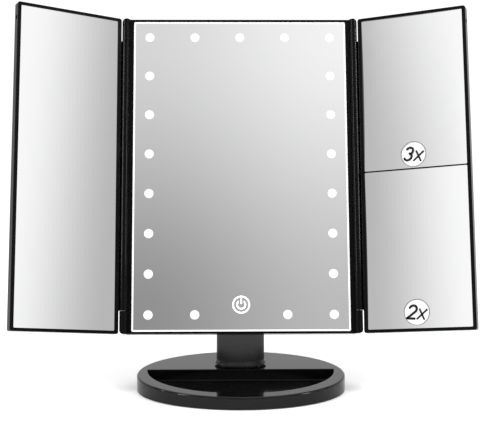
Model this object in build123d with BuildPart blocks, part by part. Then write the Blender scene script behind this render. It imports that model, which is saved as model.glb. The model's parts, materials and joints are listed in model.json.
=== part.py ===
"""Tri-fold lighted vanity mirror on an oval tray base.

One STEP file per piece, millimetres, +Z up, the mirrors facing -Y.  The origin is the middle of
the face the feet rest on.  The head leans back and both wings are swung forward of flat.
"""
import math
import os
from build123d import *

os.makedirs("parts", exist_ok=True)

# ---- driving dimensions: overall ------------------------------------------------------------
folded_width = 180.0          # lug to lug, the width with both wings folded
head_h = 241.0                # height of the three panels
lean = 15.8                   # head leans back from vertical at rest
open_left = 29.4              # left wing swung forward of flat
open_right = 23.6             # right wing swung forward of flat
head_y, head_z = 18.0, 161.4  # middle of the centre panel's front plane

# ---- centre panel ---------------------------------------------------------------------------
axis_x, axis_z = 87.2, 0.5    # hinge axes: beside and just in front of the front plane
barrel_r = 2.8
pin_r, pin_len = 1.0, 30.0
body_w = 167.8
cover_w = 172.4                # rear cover, whose sides close the view behind the hinges
lug_h, lug_gap = 17.0, 0.3
front_d, cover_d = 5.0, 8.0   # front frame and rear cover depths
shell_t = 1.8
glass_w, glass_h, glass_t = 159.7, 234.9, 2.0
recess = 0.5                  # glass face behind the rim
lip = 1.25                    # white carrier lip showing round the glass
floor_t = 1.5
fit = 0.02                    # clearance of pieces that are pressed or glued together

# ---- lights and touch key -------------------------------------------------------------------
led_x, led_y = 34.45, 30.39   # window spacing across and down
led_rows = 8
window_r = 3.5
touch_y, touch_r, arc_r = -98.9, 6.55, 3.6
stroke = 1.05

# ---- rear housing ---------------------------------------------------------------------------
hump_x, hump_v, hump_w, hump_h, hump_d = 9.5, 2.0, 81.0, 56.0, 7.0
bay_x, bay_w, bay_h = -2.0, 50.0, 43.4
cell_r, cell_l, cell_pitch = 5.2, 43.5, 10.65
door_t = 1.6
board_x, board_w, board_h = 36.5, 20.0, 40.0
pivot_v, pivot_z = -60.0, -22.6

# ---- wings ----------------------------------------------------------------------------------
wing_in, wing_out, wing_d, wing_back_t = 3.5, 86.9, 5.4, 1.6
mirror_in, mirror_out, mirror_half = 6.6, 84.2, 118.05
divider_t = 1.0
radius_3x, radius_2x, sheet_t = 1400.0, 2400.0, 1.2
sticker_r, sticker_t = 9.8, 0.12

# ---- stand ----------------------------------------------------------------------------------
base_w, base_d = 156.4, 118.8
foot_out = 0.6                # rubber feet lift the shell this far
deck_mid, deck_fall = 11.7, 2.83
wall = 2.0
chord_y, tray_a, tray_b = 9.3, 70.6, 58.3
tray_floor, tray_skin = 3.7, 1.5
tray_lip, tray_root = 0.6, 1.2    # roundings round the tray's mouth and its floor
plate_t = 1.6
post_y, post_w, post_d, post_top_d = 23.4, 36.8, 17.4, 12.8
foot_gap, foot_lip, foot_h = 1.5, 1.5, 2.6    # lip round the post's foot, just above the deck
neck_w, neck_d, knuckle_r = 19.6, 10.2, 6.5
axle_r = 2.5
screw_spots = [(-60, 24), (60, 24), (-28, 46), (28, 46)]
foot_spots = [(0, 0), (-40, -38), (40, -38), (-47, 34), (47, 34)]

s_, c_ = math.sin(math.radians(lean)), math.cos(math.radians(lean))
HEAD = Plane(origin=(0, head_y, head_z), x_dir=(1, 0, 0), z_dir=(0, -c_, s_))
LEFT = Plane(HEAD.location * Location((-axis_x, 0, axis_z), (0, open_left, 0)))
RIGHT = Plane(HEAD.location * Location((axis_x, 0, axis_z), (0, -open_right, 0)))
fall = math.radians(deck_fall)
DECK = Plane(origin=(0, 0, foot_out + deck_mid), x_dir=(1, 0, 0),
             z_dir=(0, -math.sin(fall), math.cos(fall)))
FLOOR = Plane.XY.offset(foot_out)
FOOT = Plane(origin=(0, post_y, foot_out + deck_mid + post_y * math.tan(fall)),
             x_dir=(1, 0, 0), z_dir=DECK.z_dir)
pivot = HEAD.from_local_coords(Vector(0, pivot_v, pivot_z))
rest_glass = -recess
carrier_back = -recess - glass_t - floor_t
cover_back = -front_d - cover_d
hump_back = cover_back - hump_d


# ---- helpers, used inside the piece being built ---------------------------------------------
def slab(plane, front, depth, w, h, r=0.0, at=((0, 0),), mode=Mode.ADD):
    """Plate with its front face at `front` along the plane's normal, running `depth` back."""
    with BuildSketch(plane.offset(front), mode=Mode.PRIVATE) as sk:
        with Locations(*at):
            RectangleRounded(w, h, r) if r else Rectangle(w, h)
    extrude(sk.sketch, amount=-depth, mode=mode)


def disc(plane, front, depth, r, at=((0, 0),), mode=Mode.ADD):
    """Round boss or hole running `depth` back from `front` along the plane's normal."""
    with BuildSketch(plane.offset(front), mode=Mode.PRIVATE) as sk:
        with Locations(*at):
            Circle(r)
    extrude(sk.sketch, amount=-depth, mode=mode)


def rod(plane, centre, direction, r, length, mode=Mode.ADD):
    """Cylinder centred on a point of the plane's frame, along its 'x' or 'y' direction."""
    turn = (0, 90, 0) if direction == "x" else (90, 0, 0)
    with Locations(plane.location * Location(centre, turn)):
        Cylinder(r, length, mode=mode)


def oval_block(a, b, bottom, top_plane, chord=None):
    """Oval (or, with `chord`, the half oval in front of it) from `bottom` up to a sloping plane."""
    with BuildPart(mode=Mode.PRIVATE) as block:
        with BuildSketch(Plane.XY.offset(bottom)):
            with Locations((0, chord if chord is not None else 0)):
                Ellipse(a, b)
            if chord is not None:
                with Locations((0, chord + base_d)):
                    Rectangle(3 * a, 2 * base_d, mode=Mode.SUBTRACT)
        extrude(amount=40)
        split(bisect_by=top_plane, keep=Keep.BOTTOM)
    return block.part


def lug(side, end):
    """Hinge lug at one corner of the centre frame: rounded over the pin, rounded at the corner."""
    with BuildPart(mode=Mode.PRIVATE) as block:
        width = folded_width / 2 - body_w / 2 + 1.0
        mid_x, mid_v = side * (folded_width / 2 - width / 2), end * (head_h - lug_h) / 2
        with BuildSketch(HEAD.offset(-front_d)) as face_sk:
            with Locations((mid_x, mid_v)):
                Rectangle(width, lug_h)
            corner = face_sk.vertices().sort_by(lambda v: -(side * v.X + end * v.Y))[0]
            fillet(corner, 3.2)
        extrude(amount=front_d + axis_z + barrel_r)
        section = Plane(HEAD.location * Location((0, end * head_h / 2, 0), (90, 0, 0)))
        with BuildSketch(section, mode=Mode.PRIVATE) as profile:
            with Locations((side * axis_x, axis_z)):
                Circle(barrel_r)
            with Locations((side * (folded_width / 2 - 3.05), -front_d / 2 + axis_z / 2)):
                Rectangle(6.1, front_d + axis_z)
            with Locations((side * mid_x * side, -front_d / 2)):
                Rectangle(width, front_d)
        extrude(profile.sketch, amount=head_h, both=True, mode=Mode.INTERSECT)
    return block.part


def screw(plane, spots, head_front, head_r, head_t, shank_r, length, up=1):
    """Pan-head screws: the head's outer face at `head_front`, the shank running inward."""
    with BuildSketch(plane.offset(head_front), mode=Mode.PRIVATE) as sk:
        with Locations(*spots):
            Circle(head_r)
    extrude(sk.sketch, amount=up * head_t)
    with BuildSketch(plane.offset(head_front + up * head_t), mode=Mode.PRIVATE) as sk:
        with Locations(*spots):
            Circle(shank_r)
    extrude(sk.sketch, amount=up * length)
    with BuildSketch(plane.offset(head_front), mode=Mode.PRIVATE) as sk:
        with Locations(*spots):
            Rectangle(head_r * 1.3, 0.5)
            Rectangle(0.5, head_r * 1.3)
    extrude(sk.sketch, amount=up * head_t * 0.5, mode=Mode.SUBTRACT)


def save(builder, name):
    """Label the piece and write its STEP file."""
    builder.part.label = name
    export_step(builder.part, f"parts/{name}.step")


# =============================================================================================
# stand
# =============================================================================================
with BuildPart() as base_shell:
    add(oval_block(base_w / 2, base_d / 2, foot_out, DECK))
    fillet(base_shell.faces().sort_by(Axis.Z)[-1].edges(), 1.4)
    add(oval_block(base_w / 2 - wall, base_d / 2 - wall, foot_out, DECK.offset(-wall)),
        mode=Mode.SUBTRACT)
    add(oval_block(tray_a + 1.8, tray_b + 1.8, foot_out + plate_t, DECK.offset(-0.5), chord_y + 1.8))
    add(oval_block(tray_a, tray_b, tray_floor, DECK.offset(5), chord_y), mode=Mode.SUBTRACT)
    tray_edges = base_shell.edges(Select.LAST)
    fillet(tray_edges.filter_by(lambda e: abs(DECK.to_local_coords(e.center()).Z) < 0.1), tray_lip)
    fillet(tray_edges.filter_by(lambda e: abs(e.center().Z - tray_floor) < 0.05), tray_root)
    for spot in screw_spots:
        with BuildSketch(Plane.XY.offset(3.4)):
            with Locations(spot):
                Circle(3.2)
        extrude(amount=foot_out + deck_mid + spot[1] * math.tan(fall) - 1.0 - 3.4)
    disc(Plane.XY, 3.4, -6.2, 1.17, screw_spots, Mode.SUBTRACT)
    disc(FOOT, 1.0, 5.0, 1.7, ((-11, 0), (11, 0)), Mode.SUBTRACT)
save(base_shell, "base_shell")

with BuildPart() as base_plate:
    with BuildSketch(FLOOR):
        Ellipse(base_w / 2 - wall - 0.15, base_d / 2 - wall - 0.15)
    extrude(amount=plate_t)
    disc(Plane.XY, foot_out + plate_t, -(3.4 - foot_out - plate_t), 4.0, screw_spots)
    disc(FLOOR, 0, -1.2, 2.6, screw_spots, Mode.SUBTRACT)
    disc(FLOOR, 0, -4.0, 1.3, screw_spots, Mode.SUBTRACT)
    disc(FLOOR, 0, -0.5, 4.6, foot_spots, Mode.SUBTRACT)
save(base_plate, "base_plate")

with BuildPart() as base_weight:
    with BuildSketch(Plane.XY.offset(foot_out + plate_t)):
        Ellipse(base_w / 2 - 5.5, base_d / 2 - 5.5)
        with Locations((0, 14.0 - base_d)):
            Rectangle(2 * base_w, 2 * base_d, mode=Mode.SUBTRACT)
        with Locations(*screw_spots):
            Circle(4.8, mode=Mode.SUBTRACT)
    extrude(amount=5.0)
save(base_weight, "base_weight")

with BuildPart() as rubber_feet:
    disc(Plane.XY, 0, -(foot_out + 0.5), 4.5, foot_spots)
save(rubber_feet, "rubber_feet")

with BuildPart() as base_screws:
    screw(Plane.XY, screw_spots, foot_out + 0.05, 2.3, 1.15, 1.15, 7.2)
save(base_screws, "base_screws")

shoulder_z = pivot.Z - 10.0
with BuildPart() as post:
    with BuildSketch(Plane.XY.offset(6)):
        with Locations((0, post_y)):
            Ellipse(post_w / 2, post_d / 2)
    with BuildSketch(Plane.XY.offset(shoulder_z)):
        with Locations((0, post_y)):
            Ellipse(post_w / 2 - 0.3, post_top_d / 2)
    loft()
    fillet(post.faces().sort_by(Axis.Z)[-1].edges(), 1.2)
    split(bisect_by=FOOT, keep=Keep.TOP)
    with BuildSketch(FOOT.offset(foot_gap)):
        Ellipse(post_w / 2 + foot_lip, post_d / 2 + foot_lip)
    extrude(amount=foot_h, taper=math.degrees(math.atan2(foot_lip, foot_h)))
    with BuildSketch(Plane.XY.offset(shoulder_z - 2)):
        with Locations((0, post_y)):
            RectangleRounded(neck_w, neck_d, 3.0)
    extrude(amount=12)
    with Locations(Location((0, post_y, pivot.Z), (0, 90, 0))):
        Cylinder(knuckle_r, neck_w)
        Cylinder(axle_r + 0.05, neck_w + 2, mode=Mode.SUBTRACT)
    disc(FOOT, -1, -15, 1.52, ((-11, 0), (11, 0)), Mode.SUBTRACT)
save(post, "post")

with BuildPart() as post_screws:
    screw(FOOT, ((-11, 0), (11, 0)), -wall - 1.9, 2.8, 1.8, 1.5, 13.0)
save(post_screws, "post_screws")

# =============================================================================================
# head: front frame, glass and lights
# =============================================================================================
opening_w, opening_h = glass_w + 2 * lip, glass_h + 2 * lip
corner_spots = [(x, v) for x in (-77.5, 77.5) for v in (-113.5, 113.5)]
with BuildPart() as centre_frame:
    slab(HEAD, 0, front_d, body_w, head_h, 1.5)
    for side in (-1, 1):
        for end in (-1, 1):
            add(lug(side, end))
    slab(HEAD, 5, 5 - carrier_back, opening_w, opening_h, 1.0, mode=Mode.SUBTRACT)
    slab(HEAD, 0, front_d, 153.0, 227.0, 3.0, mode=Mode.SUBTRACT)
    disc(HEAD, -front_d, 3.0, 3.3, corner_spots)
    disc(HEAD, carrier_back, 6.0, 1.12, corner_spots, Mode.SUBTRACT)
    for side in (-1, 1):
        for end in (-1, 1):
            rod(HEAD, (side * axis_x, end * 111.0, axis_z), "y", pin_r + fit, 15.2, Mode.SUBTRACT)
save(centre_frame, "centre_frame")

windows = [(i * led_x, led_y * (led_rows - 1) / 2) for i in range(-2, 3)]
windows += [(side * 2 * led_x, led_y * ((led_rows - 1) / 2 - row))
            for side in (-1, 1) for row in range(1, led_rows - 1)]
windows += [(i * led_x, -led_y * (led_rows - 1) / 2) for i in (-2, -1, 1, 2)]

with BuildPart() as mirror_carrier:
    slab(HEAD, rest_glass, glass_t + floor_t, opening_w - 2 * fit, opening_h - 2 * fit, 1.0)
    slab(HEAD, rest_glass, glass_t, glass_w, glass_h, 0.6, mode=Mode.SUBTRACT)
    disc(HEAD, 0, front_d, window_r + 0.4, windows, Mode.SUBTRACT)
save(mirror_carrier, "mirror_carrier")


def icon(extra):
    """Touch key symbol: a ring, an open arc inside it and a bar down into the arc's gap."""
    with BuildSketch(HEAD.offset(rest_glass), mode=Mode.PRIVATE) as sk:
        with Locations((0, touch_y)):
            Circle(touch_r + extra)
            Circle(touch_r - stroke - extra, mode=Mode.SUBTRACT)
            Circle(arc_r + extra)
            Circle(arc_r - stroke - extra, mode=Mode.SUBTRACT)
        with Locations((0, touch_y + 3.6)):
            Rectangle(3.9 - 2 * extra, 3.6, mode=Mode.SUBTRACT)
        with Locations((0, touch_y + 2.6)):
            Rectangle(stroke + 2 * extra, 4.2 + 2 * extra)
    return sk.sketch


with BuildPart() as centre_mirror:
    slab(HEAD, rest_glass, glass_t, glass_w - 2 * fit, glass_h - 2 * fit, 0.6)
    disc(HEAD, 0, front_d, window_r + fit, windows, Mode.SUBTRACT)
    extrude(icon(0.01), amount=-0.4, mode=Mode.SUBTRACT)
save(centre_mirror, "centre_mirror")

with BuildPart() as led_windows:
    disc(HEAD, rest_glass, glass_t, window_r, windows)
save(led_windows, "led_windows")

with BuildPart() as touch_icon:
    extrude(icon(0.0), amount=-0.4)
save(touch_icon, "touch_icon")

top_v = led_y * (led_rows - 1) / 2
with BuildPart() as led_boards:
    slab(HEAD, carrier_back, 1.0, 146.0, 8.0, at=((0, top_v),))
    slab(HEAD, carrier_back, 1.0, 8.0, 200.0, at=((-2 * led_x, 0), (2 * led_x, 0)))
    slab(HEAD, carrier_back, 1.0, 45.0, 8.0, at=((-50.5, -top_v), (50.5, -top_v)))
save(led_boards, "led_boards")

with BuildPart() as leds:
    slab(HEAD, carrier_back + 0.9, 0.9, 3.5, 2.8, at=windows)
save(leds, "leds")

with BuildPart() as touch_board:
    slab(HEAD, carrier_back, 1.0, 16.0, 14.0, 1.0, at=((0, touch_y + 1.0),))
    slab(HEAD, carrier_back - 1.0, 1.1, 4.0, 5.0, at=((0, touch_y + 1.0),))
save(touch_board, "touch_board")

with BuildPart() as hinge_pins:
    for side in (-1, 1):
        for end in (-1, 1):
            rod(HEAD, (side * axis_x, end * 104.0, axis_z), "y", pin_r, pin_len - 1.5)
save(hinge_pins, "hinge_pins")

# =============================================================================================
# head: rear housing and what is inside it
# =============================================================================================
bay_floor = -7.6
bracket_spots = [(x, v) for x in (-21, 21) for v in (-72, -43)]
board_spots = [(board_x - 5.0, 16.0), (board_x - 5.0, -16.0)]
with BuildPart() as rear_cover:
    slab(HEAD, -front_d, cover_d, cover_w, head_h, 1.5)
    fillet(rear_cover.edges().group_by(Axis(HEAD.origin, HEAD.z_dir))[0], 2.4)
    slab(HEAD, cover_back + 0.5, hump_d + 0.5, hump_w, hump_h, 6.0, at=((hump_x, hump_v),))
    fillet(rear_cover.edges().group_by(Axis(HEAD.origin, HEAD.z_dir))[0], 2.0)
    slab(HEAD, -front_d, cover_d - shell_t, body_w - 2 * shell_t, head_h - 2 * shell_t, 1.0,
         mode=Mode.SUBTRACT)
    slab(HEAD, cover_back + shell_t + 0.1, hump_d + 0.1, hump_w - 2 * shell_t,
         hump_h - 2 * shell_t, 4.2, at=((hump_x, hump_v),), mode=Mode.SUBTRACT)
    slab(HEAD, bay_floor + 1.2, bay_floor + 1.2 - hump_back - shell_t, bay_w + 3.0, bay_h + 3.0,
         at=((bay_x, 0),))
    slab(HEAD, bay_floor, bay_floor - hump_back, bay_w, bay_h, at=((bay_x, 0),), mode=Mode.SUBTRACT)
    slab(HEAD, hump_back + door_t, door_t, bay_w + 2.6, bay_h + 2.6, 1.0, at=((bay_x, 0),),
         mode=Mode.SUBTRACT)
    slab(HEAD, hump_back + door_t + 1.6, 1.61, 8.0, 1.3, at=((bay_x, -bay_h / 2 - 0.65),),
         mode=Mode.SUBTRACT)
    disc(HEAD, -front_d - 3.1, cover_d - 3.2, 3.3, corner_spots)
    disc(HEAD, cover_back + 2.6, 3.0, 2.5, corner_spots, Mode.SUBTRACT)
    disc(HEAD, 0, 14.0, 1.3, corner_spots, Mode.SUBTRACT)
    disc(HEAD, cover_back + 5.0, 4.0, 3.0, bracket_spots)
    disc(HEAD, cover_back + 5.1, 5.2, 1.12, bracket_spots, Mode.SUBTRACT)
    disc(HEAD, cover_back - 0.6, hump_d - 2.0, 2.6, board_spots)
    disc(HEAD, cover_back - 0.5, 4.0, 0.92, board_spots, Mode.SUBTRACT)
    slab(HEAD, hump_back + 3, 4.0, 7.0, 4.6, 0.8, at=((board_x - 1.0, 8.0),), mode=Mode.SUBTRACT)
    with Locations(HEAD.location * Location((hump_x + hump_w / 2, -8.0, cover_back - 1.9))):
        Box(6.0, 8.2, 3.2, mode=Mode.SUBTRACT)
save(rear_cover, "rear_cover")

with BuildPart() as cover_screws:
    screw(HEAD, corner_spots, cover_back + 0.9, 2.2, 1.6, 1.1, 6.0)
save(cover_screws, "cover_screws")

board_front = cover_back + 0.6
with BuildPart() as control_board:
    slab(HEAD, board_front, 1.2, board_w, board_h, 0.8, at=((board_x, 0),))
    disc(HEAD, 0, 20, 1.05, board_spots, Mode.SUBTRACT)
save(control_board, "control_board")

with BuildPart() as board_parts:
    slab(HEAD, board_front + 1.5, 1.5, 6.0, 5.0, at=((board_x + 1, 4.0),))
    slab(HEAD, board_front + 0.9, 0.9, 3.0, 3.0, at=((board_x + 4, -4.0),))
    disc(HEAD, board_front + 4.6, 4.6, 2.5, ((board_x - 1, -6.0),))
    slab(HEAD, board_front + 3.0, 3.0, 6.0, 4.0, at=((board_x + 2, 14.0),))
    slab(HEAD, board_front + 0.6, 0.6, 1.6, 0.8,
         at=[(board_x + dx, dv) for dx in (5.5, 8.0) for dv in (-13, -10, -1, 8)])
save(board_parts, "board_parts")

with BuildPart() as board_screws:
    screw(HEAD, board_spots, board_front + 1.3, 1.7, -1.3, 0.9, -4.6)
save(board_screws, "board_screws")

usb_z = board_front - 1.2 - 1.3
with BuildPart() as usb_socket:
    with Locations(HEAD.location * Location((45.6, -8.0, usb_z))):
        Box(6.6, 7.6, 2.6)
    with Locations(HEAD.location * Location((46.8, -8.0, usb_z))):
        Box(6.6, 6.9, 1.9, mode=Mode.SUBTRACT)
    with Locations(HEAD.location * Location((45.3, -8.0, usb_z + 0.1))):
        Box(5.0, 3.8, 0.6)
save(usb_socket, "usb_socket")

switch_at = (board_x - 1.0, 8.0)
with BuildPart() as switch_case:
    slab(HEAD, board_front - 1.2, 3.6, 8.6, 4.0, at=(switch_at,))
    slab(HEAD, board_front - 1.2 - 1.6, 2.1, 6.2, 2.2, at=(switch_at,), mode=Mode.SUBTRACT)
save(switch_case, "switch_case")

with BuildPart() as switch_knob:
    slab(HEAD, board_front - 1.2 - 1.9, 1.3, 3.6, 1.6, at=((switch_at[0] - 1.0, switch_at[1]),))
    slab(HEAD, board_front - 1.2 - 3.1, 5.2, 2.4, 1.6, at=((switch_at[0] - 1.0, switch_at[1]),))
    for step in (-0.7, 0.0, 0.7):
        slab(HEAD, board_front - 1.2 - 8.2, 0.35, 0.35, 1.6,
             at=((switch_at[0] - 1.0 + step, switch_at[1]),))
save(switch_knob, "switch_knob")

cell_spots = [cell_pitch * (i - 1.5) for i in range(4)]
cell_z = bay_floor - cell_r - 0.05
with BuildPart() as aaa_cells:
    for i, v in enumerate(cell_spots):
        way = 1 if i % 2 else -1
        rod(HEAD, (bay_x - way * 0.5, v, cell_z), "x", cell_r, cell_l)
        rod(HEAD, (bay_x - way * 0.5 + way * (cell_l / 2 + 0.4), v, cell_z), "x", 1.9, 0.8)
save(aaa_cells, "aaa_cells")

with BuildPart() as battery_contacts:
    for i, v in enumerate(cell_spots):
        way = 1 if i % 2 else -1
        slab(HEAD, cell_z + 4.5, 9.0, 0.4, 9.0, at=((bay_x - way * (bay_w / 2 - 0.2), v),
                                                 (bay_x + way * (bay_w / 2 - 0.2), v)))
        tip = bay_x - way * 0.5 + way * (cell_l / 2 + 0.8)
        wall_x = bay_x + way * (bay_w / 2 - 0.4)
        rod(HEAD, ((tip + wall_x) / 2, v, cell_z), "x", 1.6, abs(wall_x - tip))
        back = bay_x - way * (cell_l / 2 + 0.5)
        far = bay_x - way * (bay_w / 2 - 0.4)
        turns, coil_r = 3, 2.6
        length = abs(far - back) - 0.7
        start = HEAD.location * Location((min(back, far) + 0.35, v, cell_z), (0, 90, 0))
        spine = Helix(pitch=length / turns, height=length, radius=coil_r).moved(start)
        with BuildSketch(Plane(origin=spine @ 0, z_dir=spine % 0), mode=Mode.PRIVATE) as wire:
            Circle(0.3)
        sweep(wire.sketch, path=spine)
save(battery_contacts, "battery_contacts")

with BuildPart() as battery_door:
    slab(HEAD, hump_back + door_t - 0.3, door_t - 0.3, bay_w + 2.0, bay_h + 2.0, 0.8,
         at=((bay_x, 0),))
    slab(HEAD, hump_back + door_t + 1.2, 1.6, 7.2, 0.6, at=((bay_x, -bay_h / 2 - 0.6),))
    for step in range(5):
        slab(HEAD, hump_back + 0.5, 0.5, 12.0, 0.7, at=((bay_x, -bay_h / 2 + 4.0 + 1.6 * step),),
             mode=Mode.SUBTRACT)
save(battery_door, "battery_door")

runs = [((30, -10, -9.0), (50, -30, -7.4), (66, -55, -6.2)),
        ((31, 18, -9.4), (12, 50, -8.8), (-66.5, 70, -6.2)),
        ((34, -14, -9.0), (22, -60, -7.4), (4, -92, -7.0)),
        ((42, 16, -8.4), (52, 70, -7.2), (30, top_v - 2, -6.2))]
with BuildPart() as lead_wires:
    for a, b, c in runs:
        spine = Spline(*[HEAD.from_local_coords(Vector(*p)) for p in (a, b, c)])
        with BuildSketch(Plane(origin=spine @ 0, z_dir=spine % 0), mode=Mode.PRIVATE) as wire:
            Circle(0.65)
        sweep(wire.sketch, path=spine)
save(lead_wires, "lead_wires")

with BuildPart() as tilt_bracket:
    slab(HEAD, cover_back, 2.4, 52.0, 40.0, 4.0, at=((0, -57.5),))
    for side in (-1, 1):
        slab(HEAD, cover_back - 1.0, cover_back - 1.0 - pivot_z, 5.0, 15.0,
             at=((side * 12.7, pivot_v),))
        rod(HEAD, (side * 12.7, pivot_v, pivot_z), "x", 7.5, 5.0)
    rod(HEAD, (0, pivot_v, pivot_z), "x", axle_r + fit, 40.0, Mode.SUBTRACT)
    disc(HEAD, cover_back, 5.0, 1.3, bracket_spots, Mode.SUBTRACT)
save(tilt_bracket, "tilt_bracket")

with BuildPart() as bracket_screws:
    screw(HEAD, bracket_spots, cover_back - 2.4 - 1.4, 2.2, 1.4, 1.1, 6.2)
save(bracket_screws, "bracket_screws")

with BuildPart() as tilt_bolt:
    rod(HEAD, (0.4, pivot_v, pivot_z), "x", axle_r, 37.0)
    rod(HEAD, (-15.2 - 1.3, pivot_v, pivot_z), "x", 4.6, 2.6)
save(tilt_bolt, "tilt_bolt")

with BuildPart() as tilt_nut:
    hex_plane = Plane(HEAD.location * Location((15.2, pivot_v, pivot_z), (0, 90, 0)))
    with BuildSketch(hex_plane):
        RegularPolygon(4.6, 6)
        Circle(axle_r + fit, mode=Mode.SUBTRACT)
    extrude(amount=3.2)
save(tilt_nut, "tilt_nut")


# =============================================================================================
# wings
# =============================================================================================
wing_mid, wing_w = (wing_in + wing_out) / 2, wing_out - wing_in
mirror_mid, mirror_w = (mirror_in + mirror_out) / 2, mirror_out - mirror_in
barrel_h = head_h - 2 * lug_h - 2 * lug_gap
mirror_back = -3.6


def wing_tray(builder, plane, side):
    """Wing frame: tray for the mirror, web and barrel on the hinge axis, side notch."""
    slab(plane, 0, wing_d, wing_w, head_h, 1.8, at=((side * wing_mid, 0),))
    fillet(builder.edges().group_by(Axis(plane.origin, plane.z_dir))[-1], 0.5)
    slab(plane, 1, 1 - mirror_back, mirror_w, 2 * mirror_half, 0.8, at=((side * mirror_mid, 0),),
         mode=Mode.SUBTRACT)
    slab(plane, -1.8, 2.8, 3.4, barrel_h, at=((side * 2.6, 0),))
    rod(plane, (0, 0, 0), "y", barrel_r, barrel_h)
    for end in (-1, 1):
        rod(plane, (0, end * (barrel_h / 2 - 6), 0), "y", pin_r + 0.05, 20.0, Mode.SUBTRACT)
    slab(plane, -1.6, 2.4, 2.4, 3.0, at=((side * wing_out, 108.9),), mode=Mode.SUBTRACT)


with BuildPart() as left_frame:
    wing_tray(left_frame, LEFT, -1)
save(left_frame, "left_frame")

with BuildPart() as left_back:
    slab(LEFT, -wing_d, wing_back_t, wing_w, head_h, 1.8, at=((-wing_mid, 0),))
    fillet(left_back.edges().group_by(Axis(LEFT.origin, LEFT.z_dir))[0], 1.1)
save(left_back, "left_back")

with BuildPart() as left_mirror:
    slab(LEFT, -recess, glass_t, mirror_w - 2 * fit, 2 * mirror_half - 2 * fit, 0.9,
         at=((-mirror_mid, 0),))
save(left_mirror, "left_mirror")

tape_spots = [(mirror_mid, v) for v in (-90, -30, 30, 90)]
with BuildPart() as left_tape:
    slab(LEFT, -recess - glass_t, -mirror_back - recess - glass_t, 62.0, 22.0, 1.0,
         at=[(-x, v) for x, v in tape_spots])
save(left_tape, "left_tape")

with BuildPart() as right_frame:
    wing_tray(right_frame, RIGHT, 1)
    slab(RIGHT, -0.3, -mirror_back - 0.3, mirror_w, divider_t, at=((mirror_mid, 0),))
    slab(RIGHT, 0.5, 0.8, wing_w + 2, divider_t, at=((wing_mid, 0),), mode=Mode.SUBTRACT)
save(right_frame, "right_frame")

with BuildPart() as right_back:
    slab(RIGHT, -wing_d, wing_back_t, wing_w, head_h, 1.8, at=((wing_mid, 0),))
    fillet(right_back.edges().group_by(Axis(RIGHT.origin, RIGHT.z_dir))[0], 1.1)
save(right_back, "right_back")

half_h = mirror_half - divider_t / 2
half_v = (mirror_half + divider_t / 2) / 2


def dish(radius, v):
    """Centre of the sphere whose inside touches the four front corners of a half-height mirror."""
    reach2 = (mirror_w / 2) ** 2 + (half_h / 2) ** 2
    sag = radius - math.sqrt(radius ** 2 - reach2)
    return RIGHT.location * Location((mirror_mid, v, -recess - sag + radius), (90, 0, 0))


def magnifier(radius, v):
    """Bent mirror sheet, hollow towards the viewer."""
    slab(RIGHT, -recess, -mirror_back - recess, mirror_w - 2 * fit, half_h - 2 * fit, 0.9,
         at=((mirror_mid, v),))
    with Locations(dish(radius, v)):
        Sphere(radius + sheet_t, mode=Mode.INTERSECT)
        Sphere(radius, mode=Mode.SUBTRACT)


def sticker(radius, v, spot):
    """Round label lying on the bent sheet."""
    disc(RIGHT, 0, 4.0, sticker_r, (spot,))
    with Locations(dish(radius, v)):
        Sphere(radius, mode=Mode.INTERSECT)
        Sphere(radius - sticker_t, mode=Mode.SUBTRACT)


spot_3x, spot_2x = (44.3, 11.0), (43.4, -106.4)
with BuildPart() as mirror_3x:
    magnifier(radius_3x, half_v)
save(mirror_3x, "mirror_3x")

with BuildPart() as mirror_2x:
    magnifier(radius_2x, -half_v)
save(mirror_2x, "mirror_2x")

with BuildPart() as sticker_3x:
    sticker(radius_3x, half_v, spot_3x)
save(sticker_3x, "sticker_3x")

with BuildPart() as sticker_2x:
    sticker(radius_2x, -half_v, spot_2x)
save(sticker_2x, "sticker_2x")
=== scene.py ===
"""Finishes, small raised details and the studio for the tri-fold lighted vanity mirror.

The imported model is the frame: its nodes keep their shapes and places and get their real finishes
here.  Lengths are in metres, +Z is up and the mirrors face -Y.
"""

import json
import logging
import math
from dataclasses import dataclass, field
from enum import Enum

import bmesh
import bpy
from mathutils import Matrix, Vector


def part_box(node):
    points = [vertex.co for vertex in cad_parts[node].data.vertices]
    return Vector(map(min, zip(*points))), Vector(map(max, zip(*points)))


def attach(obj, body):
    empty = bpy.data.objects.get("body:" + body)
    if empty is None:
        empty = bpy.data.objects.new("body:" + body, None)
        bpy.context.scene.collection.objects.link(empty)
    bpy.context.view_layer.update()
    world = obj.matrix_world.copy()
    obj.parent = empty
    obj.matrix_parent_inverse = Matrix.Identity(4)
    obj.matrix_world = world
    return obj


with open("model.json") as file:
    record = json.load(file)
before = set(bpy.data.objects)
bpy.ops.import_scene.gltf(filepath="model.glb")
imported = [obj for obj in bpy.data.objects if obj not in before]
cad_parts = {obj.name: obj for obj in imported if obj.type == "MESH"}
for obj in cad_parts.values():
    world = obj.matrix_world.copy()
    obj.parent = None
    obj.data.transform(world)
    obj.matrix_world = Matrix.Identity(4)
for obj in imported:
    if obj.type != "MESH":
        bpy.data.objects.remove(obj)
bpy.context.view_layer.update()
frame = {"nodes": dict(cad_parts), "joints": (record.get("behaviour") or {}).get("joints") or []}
LOG = logging.getLogger("vanity_mirror")
MM = 0.001


# ---- where things are -----------------------------------------------------------------------
class Side(Enum):
    """The two wings, with the way each lies from the centre panel along +X."""

    LEFT = -1
    RIGHT = 1


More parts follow.
